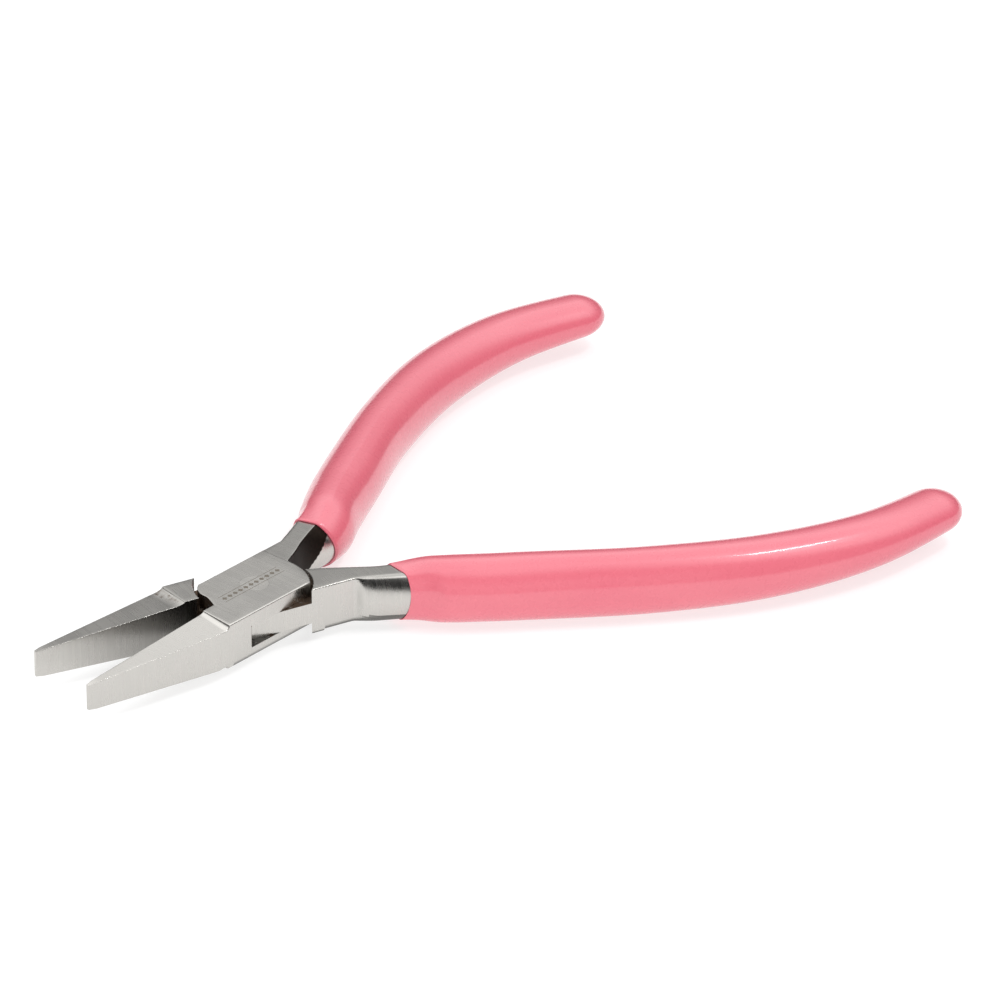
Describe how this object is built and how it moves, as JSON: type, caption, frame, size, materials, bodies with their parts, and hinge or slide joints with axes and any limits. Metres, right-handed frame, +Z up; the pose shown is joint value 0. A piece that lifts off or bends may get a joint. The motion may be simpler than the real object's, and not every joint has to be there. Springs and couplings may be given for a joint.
{
  "type": "flat nose pliers",
  "caption": "Slim flat nose jewellery pliers with a box joint, smooth flat jaws, bowed handles and dipped vinyl grips.",
  "frame": {"origin": "centre of the pivot pin's lower end, in the plane of the joint's flat underside", "axes": "+X from the pivot between the handles, +Z up along the pivot axis, jaws towards -X"},
  "size_m": [0.1249, 0.0865, 0.0095],
  "materials": {
    "steel": "satin ground steel with fine brush lines",
    "vinyl": "glossy dipped vinyl, light pink"
  },
  "bodies": {
    "box_side": {"box_half": "steel", "pivot_pin": "steel", "box_half_grip": "vinyl"},
    "lap_side": {"lap_half": "steel", "lap_half_grip": "vinyl"}
  },
  "joints": [
    {"name": "jaw_pivot", "type": "hinge", "parent": "box_side", "child": "lap_side", "pos_m": [0, 0, 0.00345], "axis": [0, 0, 1], "range_deg": [-16, 19.18]}
  ]
}
